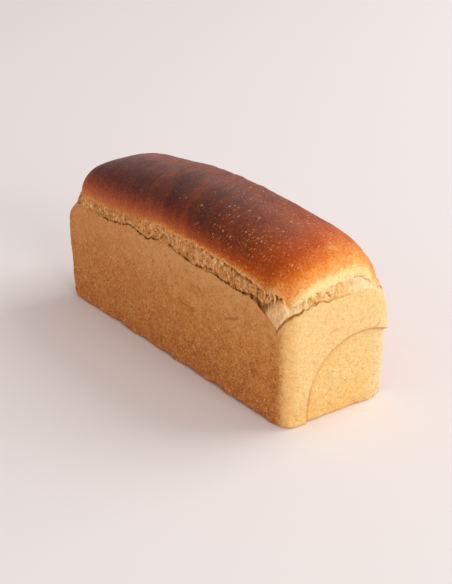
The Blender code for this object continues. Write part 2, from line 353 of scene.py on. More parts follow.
# %% The fold on the near end
FOLD_MIDDLE, FOLD_FOOT, FOLD_RADIUS = 25, 12, 55.0


def fold_inside(y, z):
    """Distance inside the arc of the fold."""
    return FOLD_RADIUS - np.hypot(y - FOLD_MIDDLE, np.maximum(z - FOLD_FOOT, 0))


def fold_relief(y, z):
    inside = fold_inside(y, z)
    swell = 2.0 * bump(0, 20, inside) * ramp(-10, 45, y)
    sink = 2.4 * np.exp(-np.maximum(inside, 0) / 22)
    return mix(swell, -sink, ramp(-0.6, 1.8, inside))


print("top of the fold's arc in mm:", FOLD_FOOT + FOLD_RADIUS)

# %% [markdown]
# Fine cracks and creases lie where the skin dried and split. Each is a short path in its wall, and
# the distance to that path says how strong it is at a vertex.

# %% Paths of the cracks and creases
WRINKLE = [(-10, 74), (-4, 75.5), (3, 75)]
SPUR = [(-27, 30), (-26.5, 24), (-27.5, 16), (-30, 8)]
CRACKS = [[(42, 81), (50, 82), (55, 79), (56, 74)],
          [(20, 62), (30, 59), (45, 59)],
          [(81, 72), (89, 69), (103, 74)],
          [(123, 36), (128, 39), (132, 36), (135, 34.5)],
          [(-18, 84), (-18.5, 82)]]


def distance_to(path, x, z):
    """Distance in the wall to a path of straight pieces."""
    nearest = np.full_like(x, 1e9)
    for (x0, z0), (x1, z1) in zip(path, path[1:]):
        dx, dz = x1 - x0, z1 - z0
        share = np.clip(((x - x0) * dx + (z - z0) * dz) / (dx * dx + dz * dz), 0, 1)
        nearest = np.minimum(nearest, np.hypot(x - x0 - share * dx, z - z0 - share * dz))
    return nearest


print("cracks on the near side:", len(CRACKS))

# %% [markdown]
# The tube's rows go up in order: a few for the turn of the lower edge, many for the wall, then the
# torn rim, which turns inwards to show a crust about a millimetre thick, and a last hidden one.

# %% Rows of the tin-side crust
TIN_COLUMNS, BASE_ROWS, WALL_ROWS = 900, 3, 84
TORN_RIM = ((0.3, 0.3), (0.25, 0.9), (-0.9, 1.3), (-4.0, 4.0))
TIN_ROWS = BASE_ROWS + WALL_ROWS + len(TORN_RIM) + 1
INNER_FLOOR_HEIGHT, INNER_FLOOR_INSET = 74.0, 12.0

tin_crust = make_tube("tin_crust", TIN_COLUMNS, TIN_ROWS)
u, v, row = tube_places(tin_crust, TIN_ROWS)
x, y = plan(u, v, HALF_LENGTH, HALF_WIDTH, TIN_CORNER_RADIUS)
edge_radius, torn = base_edge(x, y), torn_height(x, y)
turn = math.pi / 2 * np.minimum(row / BASE_ROWS, 1)
up_the_wall = mix(edge_radius, torn, (row - BASE_ROWS) / WALL_ROWS)
z = np.where(row <= BASE_ROWS, edge_radius * (1 - np.cos(turn)), up_the_wall)
inset = edge_radius * (1 - np.sin(turn))
for step, (rise, thickness) in enumerate(TORN_RIM, start=BASE_ROWS + WALL_ROWS + 1):
    z = np.where(row == step, torn + rise, z)
    inset = np.where(row == step, thickness, inset)
z = np.where(row == TIN_ROWS, INNER_FLOOR_HEIGHT, z)
inset = np.where(row == TIN_ROWS, INNER_FLOOR_INSET, inset)
print("torn edge in mm, lowest and highest:", round(torn.min(), 1), round(torn.max(), 1))

# %% [markdown]
# Baked dough is never flat. Swells of three sizes cover the walls, the lowest two centimetres are
# crinkled, and the cracks are pressed in. Then the fold shapes the near end, and the piece is set
# down with marks on its vertices, which the material reads later.

# %% Relief of the tin-side crust
place = places(x, y, z)
on_wall = ramp(0, BASE_ROWS, row) * (row <= BASE_ROWS + WALL_ROWS)
near_side, far_side, near_end, far_end = wall_shares(x, y)
wander = 1.4 * waves(place, 6, 28)
crack = near_side * sum(bump(0, 0.6, distance_to(path, x + wander, z + wander)) for path in CRACKS)
relief = layered(place, ((0.9, 45, 11), (0.35, 12, 12), (0.18, 3, 14))) + 0.35 * crack
crinkle = ramp(22, 2, z) * layered(place, ((1.2, 6, 16), (0.4, 2.5, 18)))
inset = inset + on_wall * (relief + crinkle)
lip_share = ramp(0, 1, (z - torn) / (lip_height(u, v) - torn))
x, y, half_length = wall_leaned(u, v, z, inset, lip_share)
print("walls pressed in by mm, at most:", round((on_wall * (relief + crinkle)).max(), 1))

# %% The fold, and the finished tin-side crust
on_end = ramp(half_length - 9, half_length - 3.6, x) * (u > 0)
x = x + on_end * fold_relief(y, z) * (1 - 0.8 * ramp(84, 97, z))
# The crease lines are only a colour, a brown that is partly painted shade in the fold's crease.
crease = bump(0.4, 1.6, fold_inside(y, z)) + 0.7 * bump(0, 0.8, distance_to(SPUR, y, z))
crease = on_end * (crease + 0.4 * bump(0, 0.9, distance_to(WRINKLE, y, z)))
near_end_share = ramp(0.1, 0.5, near_end)
# Painted highlight: the near corner's rounding gets a lighter tint where the light turns onto the end.
corner = bump(0.5, 0.35, near_end) * (y < 0)
in_fold = on_end * ramp(0, 3, fold_inside(y, z))
set_down(tin_crust, x, y, z, near_end=near_end_share, corner=corner, crack=crack, crease=crease,
         in_fold=in_fold)

# %% [markdown]
# ## Torn crumb
# When the dome rose in the oven, the crust tore along the rim and stretched the crumb behind it into
# fibres with pits between them. The band starts behind the torn edge, where it is deep and dark, and
# comes out to meet the dome's lip. It is a finer tube than the walls, because crumb is the roughest
# surface of the loaf.

# %% Rows of the torn band
CRUMB_COLUMNS, FACE_ROWS = 1460, 42
HIDDEN_FOOT = ((None, 12.0), (-5.0, 3.5), (-2.5, 1.2))
HIDDEN_TOP = ((4.0, 4.5), (None, 14.0))
FOOT_HEIGHT, TOP_HEIGHT = 76.0, 108.0
CRUMB_ROWS = len(HIDDEN_FOOT) + FACE_ROWS + len(HIDDEN_TOP)

torn_crumb = make_tube("torn_crumb", CRUMB_COLUMNS, CRUMB_ROWS)
u, v, row = tube_places(torn_crumb, CRUMB_ROWS)
x, y = plan(u, v, HALF_LENGTH, HALF_WIDTH, TIN_CORNER_RADIUS)
torn, lip, depth = torn_height(x, y), lip_height(u, v), tear_depth(x, y)
near_side, far_side, near_end, far_end = wall_shares(x, y)
share = (row - len(HIDDEN_FOOT)) / (FACE_ROWS - 1)
z = mix(torn - 1.0, lip + 2.5, np.clip(share, 0, 1))
print("widest opening of the tear in mm:", round((lip - torn).max(), 1))

# %% [markdown]
# Fibres slant upwards, since the dome pulled them. Crags and pits lie between them, more of them
# under the lip, and a thin smooth skin covers the top of the band. On the near end the band is
# pleated as well.

# %% Fibres, crags and pits
place, slanted = places(x, y, z), places(x + 0.35 * z, y + 0.35 * z, 0.3 * z)
skin_share = near_side * ramp(-90, -140, x) * 0.3 + near_end * 0.15
skin = ramp(0.92 - skin_share, 1.0 - 0.5 * skin_share, share)
fibres = waves(slanted, 1.9, 15)
strands = (1 - np.abs(waves(slanted, 2.6, 17))) ** 4
crags, clusters = waves(place, 7, 9), waves(place, 8, 20)
pleats = near_end * ramp(-12, -2, y) * ramp(34, 26, y) * waves(places(y, 0.15 * z), 2.6, 22)
# More pits under the lip also darken it there in the material, painted shade under the dome's overhang.
under_lip = 1.5 * bump(0.84, 0.09, share) + 0.9 * bump(0.18, 0.12, share)
pits = waves(place, (3.4, 3.4, 2.6), 19) + 0.45 * clusters + 0.24 * under_lip
pits = np.maximum(pits - 0.28, 0) * 2.2
pits = pits * (1 - skin) * (1 - 0.75 * near_end * ramp(-5, 12, y))
print("share of the band with pits:", round((pits > 0.1).mean(), 2))

# %% [markdown]
# At the near corner the tear opens into a gash, darkened with painted shade, and a tongue of smooth
# pale dough fills the V below it. A crack runs along the lip of the near end.

# %% Gash, tongue and the crack at the lip
GASH = [(117, 100), (122, 99.5), (127, 97), (131, 95.5), (136, 95.5), (142, 99), (147, 103), (153, 107)]
LIP_CRACK = [(16, 114), (24, 112), (30, 109), (35, 105), (38, 100), (40, 96)]

wander = 1.1 * waves(place, 4, 30)
gash_width = mix(1.9, 4.0, bump(131, 8, x))
on_gash = near_side * bump(0, gash_width, distance_to(GASH, x + wander, z + wander))
lip_crack = near_end * bump(0, 0.9, distance_to(LIP_CRACK, y + wander, z + wander))
tongue = near_side * ramp(139, 145, x) * ramp(105, 101, z)
calm = (1 - 0.5 * near_end * ramp(-10, 15, y)) * (1 - 0.75 * tongue) * (1 - 0.8 * skin)
rough = 1.5 * crags + 0.7 * fibres + 1.0 * pits - mix(1.0, 0.3, near_end) * strands
hollow = calm * rough + 2.6 * on_gash + 1.2 * lip_crack + 0.8 * pleats
print("deepest hollow in mm:", round(hollow.max(), 1))

# %% [markdown]
# A groove follows the torn edge, where the band lies furthest back. It is a narrow slit along
# most of the side and opens wide beside the gash. Where it is nearly closed, the crumb touches the
# crust's edge. Painted shade darkens the slit and the crumb just above the torn edge.

# %% Groove along the torn edge
over_torn = z - torn
open_share = 0.9 + layered(places(x, y), ((1.3, 13, 41), (1.1, 3.5, 42)))
open_share = np.clip(open_share, 0.05, 1.8)
wide = near_side * bump(130, 10, x) + 0.7 * near_end * ramp(-14, -28, y)
slit = 0.75 * (1 - ramp(0.8, 2.4, over_torn))
groove = mix(slit, 0.6 * (1 - ramp(0.05, 0.4, share)), wide)
face = np.clip(np.minimum(share, 1 - share) * 8, 0, 1) * (share > 0) * (share < 1)
inset = depth * (open_share * groove + 0.25 * (1 - ramp(0.0, 0.7, share)))
inset = inset + 0.15 + 0.8 * ramp(0.85, 1.0, share) + np.maximum(face * hollow, -1.3)
# Painted shade: how far above the torn edge the groove's darkening reaches, and how strong it is.
painted_shade_top = mix(2.4, 4.0, wide)
painted_shade = open_share * (1 - ramp(1.2, painted_shade_top, over_torn + 1.6 * fibres))
painted_shade = painted_shade * calm * (1 - 0.7 * near_end * ramp(-40, -30, y))
print("furthest back in mm:", round(inset.max(), 1))

# %% [markdown]
# Hidden rows carry the band on behind the walls and under the dome, so that no gap shows.

# %% The finished torn crumb
for step, (drop, more) in enumerate(HIDDEN_FOOT):
    z = np.where(row == step, FOOT_HEIGHT if drop is None else torn + drop, z)
    inset = np.where(row == step, more + depth * (drop is not None), inset)
for step, (top, deep) in enumerate(HIDDEN_TOP, start=CRUMB_ROWS - 1):
    z = np.where(row == step, TOP_HEIGHT if top is None else lip + top, z)
    inset = np.where(row == step, deep, inset)
x, y, half_length = wall_leaned(u, v, z, inset, ramp(0, 1, share))
# The gash mark, with half of the lip crack, says where the material darkens them: painted shade in the
# gash.
gash = on_gash * (0.75 + 0.8 * fibres) + 0.5 * lip_crack
flap = ramp(0.1, 0.5, near_end) * ramp(-32, -42, y)
set_down(torn_crumb, x, y, z, near_end=near_end, skin=skin, tongue=tongue, pits=face * calm * pits,
         groove=painted_shade, gash=gash, flap=flap)

# %% [markdown]
# ## Domed crust
# The dome rose free of the tin, so it is round, dried to a skin and browned most. Its cross-section
# is an arch, steep at the shoulders, and it falls away faster towards the far end.

# %% The arch of the dome
NEAR_FALL, FAR_FALL = 13.6, 22.0


def arch(u, v):
    """Height of the dome over its lip as a share, 0 at the rim and 1 at the middle."""
    end = 1 - np.abs(u) ** np.where(u > 0, 11, 13)
    side = 1 - np.abs(v) ** np.where(v > 0, 2.2, 2.3)
    return np.sqrt(np.maximum(end, 0) * np.maximum(side, 0))


def crown_height(u):
    """Height of the crest, with two shallow dips along it."""
    fall = np.where(u > 0, NEAR_FALL, FAR_FALL) * u**2
    return CROWN_HEIGHT - fall - 1.6 * bump(0.55, 0.2, u) - 1.5 * bump(-0.5, 0.2, u)


def even_steps(t, width, height_at):
    """Moves t, from -1 to 1, so that equal steps become equal lengths on the arch."""
    fine = np.sin(np.linspace(-math.pi / 2, math.pi / 2, 4001))
    steps = np.hypot(np.diff(fine) * width, 0.8 * np.diff(height_at(fine)))
    length = np.concatenate(((0,), np.cumsum(steps)))
    return np.interp((t + 1) / 2, length / length[-1], fine)


print("crest in mm at the far end, middle and near end:", crown_height(np.array((-1, 0, 1))).round(1))

# %% [markdown]
# The dome starts as a flat grid. Its outer edges are extruded four times for the turn of the lip,
# and the last loop is closed with a face, so the piece is a closed skin. Steps along the grid are
# then spread so that cells stay even on the steep shoulders too.

# %% A sheet with its rim pulled down
LENGTH_CELLS, WIDTH_CELLS = 400, 176
LIP_STEPS = ((-0.3, 0.15), (-0.6, 0.7), (-0.4, 3.0), (None, 16.0))
UNDERSIDE_HEIGHT = 100.0

bpy.ops.object.select_all(action="DESELECT")
bpy.ops.mesh.primitive_grid_add(x_subdivisions=LENGTH_CELLS, y_subdivisions=WIDTH_CELLS, size=2)
dome_crust = bpy.context.object
dome_crust.name = "dome_crust"
bpy.ops.object.mode_set(mode="EDIT")
bpy.ops.mesh.select_mode(type="EDGE")
select_edges(lambda edge: edge.is_boundary)
for _ in LIP_STEPS:
    bpy.ops.mesh.extrude_region_move(TRANSFORM_OT_translate={"value": (0, 0, -1)})
bpy.ops.mesh.edge_face_add()
bpy.ops.object.mode_set(mode="OBJECT")
points = read_points(dome_crust)
u = even_steps(points[:, 0], HALF_LENGTH, lambda t: arch(t, 0 * t) * (crown_height(t) - 112))
v = even_steps(points[:, 1], HALF_WIDTH, lambda t: arch(0 * t, t) * 38)
step = np.rint(-points[:, 2])
print("vertices of the dome:", len(points))

# %% Lip, arch and the distance from the lip
end_inset = np.where(u > 0, NEAR_LIP_INSET, FAR_LIP_INSET)
dome_length, dome_width = HALF_LENGTH - end_inset, HALF_WIDTH - SIDE_LIP_INSET
radius = corner_radius(u, v, CROWN_HEIGHT)
x, y = plan(u, v, dome_length, dome_width, radius)
lip, rise = lip_height(u, v), arch(u, v)
z = mix(lip, crown_height(u), rise)
to_side = np.hypot(z - lip, dome_width - np.abs(y))
to_end = np.hypot(z - lip, HALF_LENGTH - NEAR_LIP_INSET - np.abs(x))
from_lip = np.minimum(to_side, to_end)
print("longest way from the lip in mm:", round(from_lip.max(), 1))

# %% [markdown]
# The skin dried while the dough still moved, which left broad bulges, and ridges across the middle.
# Near the lip it is puckered, and the lip itself is ragged where it tore. On the near end a rim of
# cream dough shows, which is a mark for the material.

# %% Bulges, ridges and the ragged lip
flat, bent = places(x, y), x + 0.35 * y
bent = bent + 6 * waves(flat, 25, 24)
swells = layered(places(x + 0.6 * y, y), ((1.1, 38, 13), (0.45, 14, 21)))
ridges = 0.8 * waves(places(bent, 0.2 * y), 12.0, 23) + 0.6 * waves(places(bent, 0.15 * y), 4.5, 29)
ridges = ridges * (0.3 + 0.8 * bump(5, 50, x)) * ramp(85, 45, x)
fine = 0.16 * waves(places(x, y, z), 4, 25)
puckers = 0.45 * waves(flat, 5, 27) * bump(0, 7, from_lip)
ragged = layered(flat, ((1.6, 9, 31), (1.5, 4, 32), (1.0, 2, 33)))
z = z + rise * (swells + 1.1 * ridges) + ramp(0, 4, from_lip) * (fine + puckers)
z = z + ragged * bump(0, 3.0, from_lip)
near_end = wall_shares(x, y)[2]
cream = ramp(0.3, 0.8, near_end) * ramp(9, 4.5, from_lip + 2.5 * waves(flat, 5, 34))
cream = cream * mix(1.0, 0.5, ramp(0, 20, y))
print("ridges in mm, lowest and highest:", round(ridges.min(), 1), round(ridges.max(), 1))

# %% [markdown]
# Each loop of the pulled-down rim goes a little lower and further in, and the last one is the
# underside, hidden inside the loaf.

# %% The finished domed crust
for number, (drop, inwards) in enumerate(LIP_STEPS, start=1):
    here = step == number
    new_x, new_y = plan(u, v, dome_length - inwards, dome_width - inwards, radius)
    x, y = np.where(here, new_x, x), np.where(here, new_y, y)
    z = np.where(here, UNDERSIDE_HEIGHT if drop is None else z + drop, z)
set_down(dome_crust, x, y, z, from_lip=from_lip, ridge=ridges, cream=cream)

# %% [markdown]
# ## Loose shreds
# Where the dome tore away over the gash, a few threads of dough still hang from its lip. Each is a
# curve with a round section, a little over a millimetre thick. The curves are turned into meshes
# and joined into one piece.

# %% Shreds that hang over the gash
SHREDS = [[(131, 112), (135, 110), (136.5, 106.5), (135.5, 102.5)],
          [(135.5, 103), (139, 105), (142, 108.5), (143, 112)],
          [(121, 113.5), (124, 110.5), (126, 108)],
          [(146, 112), (149, 108), (148, 105)]]
SHRED_RADIUS = 0.6


def wall_place(x, z):
    """A place just outside the crumb of the near side, in metres."""
    return Vector((x + lowest[0] + HALF_LENGTH, -HALF_WIDTH + 1.0, z)) / 1000


parts = []
for path in SHREDS:
    bpy.ops.object.select_all(action="DESELECT")
    bpy.ops.curve.primitive_nurbs_path_add()
    shred = bpy.context.object
    shred.data.splines.clear()
    spline = shred.data.splines.new("BEZIER")
    spline.bezier_points.add(len(path) - 1)
    for point, (x, z) in zip(spline.bezier_points, path):
        point.co = wall_place(x, z)
        point.handle_left_type = point.handle_right_type = "AUTO"
    shred.data.bevel_depth, shred.data.use_fill_caps = SHRED_RADIUS / 1000, True
    bpy.ops.object.convert(target="MESH")
    parts.append(bpy.context.object)
for part in parts:
    part.select_set(True)
bpy.ops.object.join()
torn_shreds = bpy.context.object
torn_shreds.name = "torn_shreds"
torn_shreds.data.shade_smooth()
print("shreds:", len(parts), "faces:", len(torn_shreds.data.polygons))

# %% [markdown]
# ## Colours and nodes
# Colours are written as screen codes, and one function turns them into the linear values that a
# shader works with. One more adds a node, sets it and links it. Its inputs come in the node's own
# order, or by name. A socket is linked, and any other value is set. Object coordinates are in
# metres, so 1000 divided by a size in millimetres is the scale of a pattern of that size.

# %% Tools for colours and nodes
SOFT = {"Detail": 3.0, "Roughness": 0.6}


def colour(code):
    """A screen colour such as #C08040 as the linear values a shader works with."""
    parts = [int(code[i : i + 2], 16) / 255 for i in (1, 3, 5)]
    return tuple(c / 12.92 if c <= 0.04045 else ((c + 0.055) / 1.055) ** 2.4 for c in parts) + (1.0,)


def add(tree, kind, inputs=(), output=0, steps=(), **settings):
    """Adds a node and gives back one of its outputs, or all of them where output is None."""
    node = tree.nodes.new("ShaderNode" + kind)
    for name, value in settings.items():
        setattr(node, name, value)
    named = inputs if isinstance(inputs, dict) else dict(enumerate(inputs))
    for name, value in named.items():
        if isinstance(value, bpy.types.NodeSocket):
            tree.links.new(value, node.inputs[name])
        else:
            node.inputs[name].default_value = value
    if steps:
        elements = node.color_ramp.elements
        for place, code in steps[1:-1]:
            elements.new(place).color = colour(code)
        elements[0].position, elements[-1].position = steps[0][0], steps[-1][0]
        elements[0].color, elements[-1].color = colour(steps[0][1]), colour(steps[-1][1])
    return node.outputs if output is None else node.outputs[output]


def start_material(name, roughness, ior):
    material = bpy.data.materials.new(name)
    material.use_nodes = True
    shader = material.node_tree.nodes["Principled BSDF"]
    shader.inputs["Roughness"].default_value = roughness
    shader.inputs["IOR"].default_value = ior
    return material, material.node_tree, shader


print("crust brown #96400F is", np.round(colour("#96400F")[:3], 3))

# %% [markdown]
# ## Domed crust: browning
# Sugars and proteins on a bread's skin turn brown in the heat, and the far half of this loaf took
# most of it. One number, the browning, says how far that went. It grows from the lip upwards and
# from the near end to the far one. On the slope away from us it is lowered a little, a painted
# sheen that makes that slope lighter.

# %% Domed crust: how brown it is
material, tree, shader = start_material("domed_crust", 0.45, 1.45)
here = add(tree, "TexCoord", output="Object")
axis = add(tree, "SeparateXYZ", (here,), output=None)
mottle = add(tree, "TexNoise", {"Vector": here, "Scale": 1000 / 16, **SOFT})
grain = add(tree, "TexNoise", {"Vector": here, "Scale": 1000 / 2, **SOFT})
far = add(tree, "MapRange", (axis["X"], 0.1, -0.05))
along = add(tree, "MapRange", (axis["X"], 0.172, 0.045))
along = add(tree, "Math", (along, 0.65), operation="POWER")
from_lip = add(tree, "Attribute", output="Fac", attribute_name="from_lip")
pale_width = add(tree, "MapRange", (mottle, 0.3, 0.7, 12.0, 19.0))
pale_width = add(tree, "Math", (far, 8.0, pale_width), operation="MULTIPLY_ADD")
from_rim = add(tree, "Math", (from_lip, pale_width), operation="DIVIDE")
from_rim = add(tree, "MapRange", (from_rim, 0.0, 1.0))
from_rim = add(tree, "Math", (from_rim, 0.7), operation="POWER")
# Painted sheen: less browning, so a lighter colour, on the slope away from us.
painted_far_slope_sheen = add(tree, "MapRange", (axis["Y"], -0.018, 0.006, 0.8, 0.64))
browning = add(tree, "Math", (along, from_rim), operation="MULTIPLY")
browning = add(tree, "Math", (browning, painted_far_slope_sheen), operation="MULTIPLY")
print(material.name, "nodes so far:", len(tree.nodes))

# %% [markdown]
# Patches of 16 mm, a grain of 2 mm and streaks across the loaf shift the browning a little. The
# ripples shift it too: their troughs get painted shade and their crests a painted highlight.
# Two ramps turn it into colours: an orange one for the near half, and a duller one with a purple
# tinge for the far half.

# %% Domed crust: ripples, grain and colours
NEAR_BROWNS = [(0, "#FADCA0"), (0.09, "#F0AA5A"), (0.21, "#DA7222"), (0.32, "#BC4C0C"),
               (0.48, "#96400F"), (0.68, "#703014"), (1, "#4A2420")]
FAR_BROWNS = [(0, "#E89448"), (0.2, "#D77A38"), (0.32, "#C56B3A"), (0.52, "#A84A2A"),
              (0.68, "#7E3822"), (0.8, "#64281A"), (1, "#4A221A")]

ridge = add(tree, "Attribute", output="Fac", attribute_name="ridge")
# Painted shade and highlight: the ridge heights darken the ripples' troughs and lighten their crests.
ripple_shade_and_highlight = add(tree, "Math", (ridge, -0.14), operation="MULTIPLY")
patches = add(tree, "MapRange", (mottle, 0.3, 0.7, -0.05, 0.05))
specks = add(tree, "MapRange", (grain, 0.3, 0.7, -0.1, 0.1))
calm_end = add(tree, "MapRange", (axis["X"], 0.155, 0.105, 0.45, 1.0))
across = add(tree, "Mapping", {"Vector": here, "Scale": (1, 0.2, 0.2)})
streaks = add(tree, "TexNoise", {"Vector": across, "Scale": 1000 / 3, **SOFT})
streaks = add(tree, "MapRange", (streaks, 0.3, 0.7, -0.06, 0.06))
browning = add(tree, "Math", (browning, patches), operation="ADD")
for change, strength in ((ripple_shade_and_highlight, from_rim), (specks, calm_end), (streaks, far)):
    browning = add(tree, "Math", (change, strength, browning), operation="MULTIPLY_ADD")
near_crust = add(tree, "ValToRGB", (browning,), steps=NEAR_BROWNS)
far_crust = add(tree, "ValToRGB", (browning,), steps=FAR_BROWNS)
crust = add(tree, "MixRGB", (far, near_crust, far_crust))
print(material.name, "nodes so far:", len(tree.nodes))

# %% [markdown]
# Steam under the skin raises tiny blisters of one to three millimetres, and most of them lie on the
# near half. Voronoi cells place them. Each cell has a random colour, which decides whether it has a
# blister at all and how wide that is, so they don't look like a row of equal dots.

# %% Domed crust: blisters
wander = add(tree, "TexNoise", {"Vector": here, "Scale": 1000 / 2.5, "Detail": 1.0}, output="Color")
wander = add(tree, "VectorMath", (wander, (0.003, 0.003, 0.003)), operation="MULTIPLY")
wandered = add(tree, "Mapping", {"Vector": here, "Scale": (1.15, 0.75, 1)})
wandered = add(tree, "VectorMath", (wandered, wander), operation="ADD")
crowd = add(tree, "TexNoise", {"Vector": here, "Scale": 1000 / 10, **SOFT})
crowd = add(tree, "MapRange", (crowd, 0.35, 0.65, -0.45, 0.3))
crowd = add(tree, "Math", (far, -0.8, crowd), operation="MULTIPLY_ADD")
blister = 0.0
for size in (2.7, 1.4):
    cells = add(tree, "TexVoronoi", {"Vector": wandered, "Scale": 1000 / size}, output=None)
    chance = add(tree, "SeparateXYZ", (cells["Color"],), output=None)
    chosen = add(tree, "Math", (chance["X"], crowd), operation="ADD")
    chosen = add(tree, "MapRange", (chosen, 0.35, 0.7))
    spread = add(tree, "MapRange", (chance["Y"], 0.0, 1.0, 0.15, 0.48))
    spot = add(tree, "Math", (cells["Distance"], spread), operation="DIVIDE")
    spot = add(tree, "MapRange", (spot, 1.0, 0.45))
    spot = add(tree, "Math", (spot, chosen), operation="MULTIPLY")
    blister = add(tree, "Math", (spot, blister), operation="MAXIMUM")
blister_share = add(tree, "Math", (blister, 0.7), operation="MULTIPLY")
crust = add(tree, "MixRGB", (blister_share, crust, colour("#F8A468")))
print(material.name, "nodes so far:", len(tree.nodes))

# %% [markdown]
# The rim over the near end stayed cream, and everywhere the very edge of the lip is thin and pale.
# Higher up the skin is glossier, like polished leather. Its finest bumps, under a millimetre, would
# need far more faces than the grid has, so a bump node only shades them.

# %% Domed crust: rim, gloss and leather
cream = add(tree, "Attribute", output="Fac", attribute_name="cream")
crust = add(tree, "MixRGB", (cream, crust, colour("#F8D592")))
rim_width = add(tree, "TexNoise", {"Vector": here, "Scale": 1000 / 5, **SOFT})
rim_width = add(tree, "MapRange", (rim_width, 0.35, 0.65, 0.6, 2.4))
thin_rim = add(tree, "MapRange", (from_lip, rim_width, 0.0))
thin_rim = add(tree, "Math", (thin_rim, 0.7), operation="MULTIPLY")
crust = add(tree, "MixRGB", (thin_rim, crust, colour("#ECAE66")))
gloss = add(tree, "MapRange", (from_lip, 5.0, 60.0))
gloss = add(tree, "Math", (gloss, 2.0), operation="POWER")
gloss = add(tree, "MapRange", (gloss, 0.0, 1.0, 0.08, 1.1))
roughness = add(tree, "MapRange", (mottle, 0.3, 0.7, 0.4, 0.52))
leather = add(tree, "Math", (mottle, 0.8, grain), operation="MULTIPLY_ADD")
leather = add(tree, "Math", (blister, 0.6, leather), operation="MULTIPLY_ADD")
leather = add(tree, "Bump", {"Height": leather, "Strength": 1.0, "Distance": 0.0007})
tree.links.new(crust, shader.inputs["Base Color"])
tree.links.new(gloss, shader.inputs["Specular IOR Level"])
tree.links.new(roughness, shader.inputs["Roughness"])
tree.links.new(leather, shader.inputs["Normal"])
dome_crust.data.materials.append(material)
print(material.name, "nodes in all:", len(tree.nodes))

# %% [markdown]
# ## Tin-side crust: dry and matt
# The metal browned the walls evenly, a little darker towards the base. They are dry, so they shine
# very little. The near end is paler and golden, yellower inside the fold, and almost cream at its
# far edge.

# %% Tin-side crust: colours of the walls
SIDE_BROWNS = [(0, "#BC601C"), (0.3, "#CE7222"), (0.6, "#DF8A3C"), (1, "#F4AE6C")]

material, tree, shader = start_material("tin_side_crust", 0.6, 1.4)
shader.inputs["Specular IOR Level"].default_value = 0.25
here = add(tree, "TexCoord", output="Object")
axis = add(tree, "SeparateXYZ", (here,), output=None)
mottle = add(tree, "TexNoise", {"Vector": here, "Scale": 1000 / 14, **SOFT})
up = add(tree, "MapRange", (axis["Z"], 0.0, 0.1))
uneven = add(tree, "MapRange", (mottle, 0.3, 0.7, -0.2, 0.2))
up = add(tree, "Math", (up, uneven), operation="ADD")
side = add(tree, "ValToRGB", (up,), steps=SIDE_BROWNS)
far_share = add(tree, "MapRange", (axis["X"], 0.05, -0.12, 0.0, 0.4))
side = add(tree, "MixRGB", (far_share, side, colour("#D87828")))
in_fold = add(tree, "Attribute", output="Fac", attribute_name="in_fold")
patchy = add(tree, "MapRange", (mottle, 0.38, 0.62, 0.0, 0.5))
in_fold = add(tree, "Math", (in_fold, patchy), operation="MULTIPLY")
end = add(tree, "MixRGB", (in_fold, colour("#F1CA86"), colour("#F3BE62")))
low_share = add(tree, "MapRange", (axis["Z"], 0.035, 0.0, 0.0, 0.5))
end = add(tree, "MixRGB", (low_share, end, colour("#E8B058")))
far_edge = add(tree, "MapRange", (axis["Y"], 0.03, 0.05, 0.0, 0.8))
below_tear = add(tree, "MapRange", (axis["Z"], 0.08, 0.06))
far_edge = add(tree, "Math", (far_edge, below_tear), operation="MULTIPLY")
end = add(tree, "MixRGB", (far_edge, end, colour("#F4E1B4")))
print(material.name, "nodes so far:", len(tree.nodes))

# %% [markdown]
# The dough's skin baked to a fine curly grain of about three millimetres, so that noise is
# distorted. Its low spots are darker and its high ones lighter, more so near the base, and the grain
# also frays the line where the side's colour meets the end's.

# %% Tin-side crust: grain and curls
grain = {"Vector": here, "Scale": 1000 / 2.8, "Detail": 4.0, "Roughness": 0.7, "Distortion": 1.5}
grain = add(tree, "TexNoise", grain)
near_end = add(tree, "Attribute", output="Fac", attribute_name="near_end")
frayed = add(tree, "MapRange", (grain, 0.3, 0.7, -0.3, 0.3))
near_end = add(tree, "Math", (near_end, frayed), operation="ADD")
near_end = add(tree, "MapRange", (near_end, 0.0, 0.95))
wall = add(tree, "MixRGB", (near_end, side, end))
darker = add(tree, "MixRGB", (near_end, colour("#984A10"), colour("#D08A30")))
lighter = add(tree, "MixRGB", (near_end, colour("#FCB262"), colour("#FFE4AC")))
low_down = add(tree, "MapRange", (axis["Z"], 0.09, 0.03, 0.55, 1.1))
GRAIN_TONES = ((darker, 0.492, 0.34, 1.0, 0.48), (lighter, 0.528, 0.67, 0.85, 0.4))
for tone, first, last, on_side, on_end in GRAIN_TONES:
    strength = add(tree, "MapRange", (near_end, 0.0, 1.0, on_side, on_end))
    strength = add(tree, "Math", (strength, low_down), operation="MULTIPLY")
    spots = add(tree, "MapRange", (grain, first, last))
    spots = add(tree, "Math", (spots, strength), operation="MULTIPLY")
    wall = add(tree, "MixRGB", (spots, wall, tone))
curls = {"Vector": here, "Scale": 1000 / 6, "Detail": 2.0, "Roughness": 0.55, "Distortion": 2.5}
curls = add(tree, "TexNoise", curls)
curls = add(tree, "Math", (curls, 0.5), operation="SUBTRACT")
curls = add(tree, "Math", (curls,), operation="ABSOLUTE")
curls = add(tree, "MapRange", (curls, 0.08, 0.0))
curl_share = add(tree, "MapRange", (near_end, 0.0, 1.0, 0.5, 0.3))
curl_share = add(tree, "Math", (curls, curl_share), operation="MULTIPLY")
wall = add(tree, "MixRGB", (curl_share, wall, lighter))
print(material.name, "nodes so far:", len(tree.nodes))

# %% [markdown]
# The near corner is painted lighter than the side next to it: a painted highlight where the light
# turns onto the end. A few open pores lie about nine millimetres apart. The cracks are shaped already
# and get their darker brown here, and the creases are only a colour, a brown partly painted as shade
# in the fold's crease. Pores, curls and grain are too fine for the mesh, so a bump node shades them.

